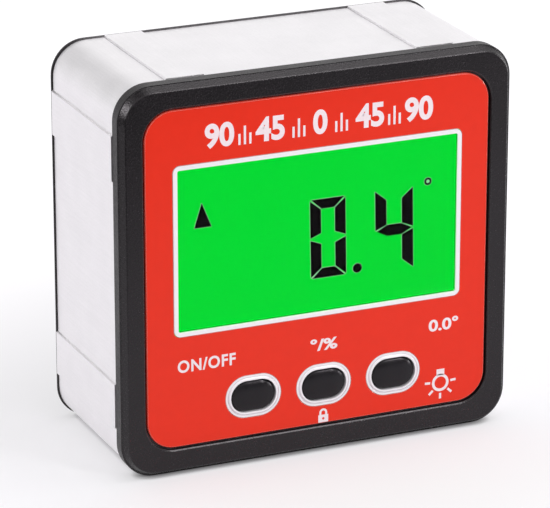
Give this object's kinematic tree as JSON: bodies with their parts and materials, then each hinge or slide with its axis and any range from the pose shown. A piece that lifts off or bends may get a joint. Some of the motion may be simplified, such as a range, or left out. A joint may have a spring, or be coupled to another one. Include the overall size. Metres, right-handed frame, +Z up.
{
  "type": "inclinometer",
  "caption": "Square digital angle gauge: metal ring frame with raised measuring lands, lit display, three keys, and a battery door that slides off the back.",
  "frame": {"origin": "middle of the body's outline, on the plane of the base lands", "axes": "+Z up, -Y towards the reader of the display, +X to the reader's right"},
  "size_m": [0.06, 0.028, 0.0575],
  "materials": {
    "frame_aluminium": "fine satin, natural anodised",
    "bezel_plastic": "black, fine texture",
    "cover_plastic": "black, fine texture",
    "red_panel": "glossy red overlay",
    "white_plastic": "glossy white",
    "clear_window": "clear acrylic, polished",
    "display_green": "lit green film",
    "lcd_glass": "thin display glass",
    "light_guide": "clear moulding with a white dot pattern",
    "led_green": "moulded lamp body",
    "connector_silicone": "silicone with fine dark layers",
    "holder_plastic": "white reflector plastic",
    "key_plastic": "glossy black",
    "switch_plastic": "black moulding",
    "board_laminate": "green solder mask",
    "chip_plastic": "moulded epoxy",
    "crystal_can": "drawn can",
    "small_parts": "ceramic",
    "screw_steel": "blackened zinc plating",
    "magnet_nickel": "nickel plated",
    "contact_nickel": "nickel plated spring steel",
    "cell_jacket": "printed jacket, plain"
  },
  "bodies": {
    "case": {"frame": "frame_aluminium", "base_magnets": "magnet_nickel", "front_bezel": "bezel_plastic", "front_panel": "red_panel", "display_rim": "white_plastic", "display_window": "clear_window", "lcd_front_polariser": "display_green", "lcd_front_glass": "lcd_glass", "lcd_rear_glass": "lcd_glass", "lcd_rear_polariser": "display_green", "light_guide": "light_guide", "backlight_leds": "led_green", "lcd_connector": "connector_silicone", "lcd_holder": "holder_plastic", "key_collars": "white_plastic", "switch_bodies": "switch_plastic", "main_board": "board_laminate", "controller_chip": "chip_plastic", "tilt_sensor": "chip_plastic", "crystal": "crystal_can", "board_components": "small_parts", "board_screws": "screw_steel", "rear_cover": "cover_plastic", "battery_lower": "cell_jacket", "battery_upper": "cell_jacket", "battery_contact_positive": "contact_nickel", "battery_contact_negative": "contact_nickel", "battery_link": "contact_nickel", "case_screws": "screw_steel"},
    "battery_door": {"battery_door": "cover_plastic"},
    "power_button": {"power_key": "key_plastic", "power_switch_plunger": "switch_plastic"},
    "hold_button": {"hold_key": "key_plastic", "hold_switch_plunger": "switch_plastic"},
    "zero_button": {"zero_key": "key_plastic", "zero_switch_plunger": "switch_plastic"}
  },
  "joints": [
    {"name": "battery_door_slide", "type": "slide", "parent": "case", "child": "battery_door", "axis": [1, 0, 0], "range_m": [0, 0.046]},
    {"name": "power_press", "type": "slide", "parent": "case", "child": "power_button", "axis": [0, 1, 0], "range_m": [0, 0.0004], "stiffness_N_per_m": 500},
    {"name": "hold_press", "type": "slide", "parent": "case", "child": "hold_button", "axis": [0, 1, 0], "range_m": [0, 0.0004], "stiffness_N_per_m": 500},
    {"name": "zero_press", "type": "slide", "parent": "case", "child": "zero_button", "axis": [0, 1, 0], "range_m": [0, 0.0004], "stiffness_N_per_m": 500}
  ]
}
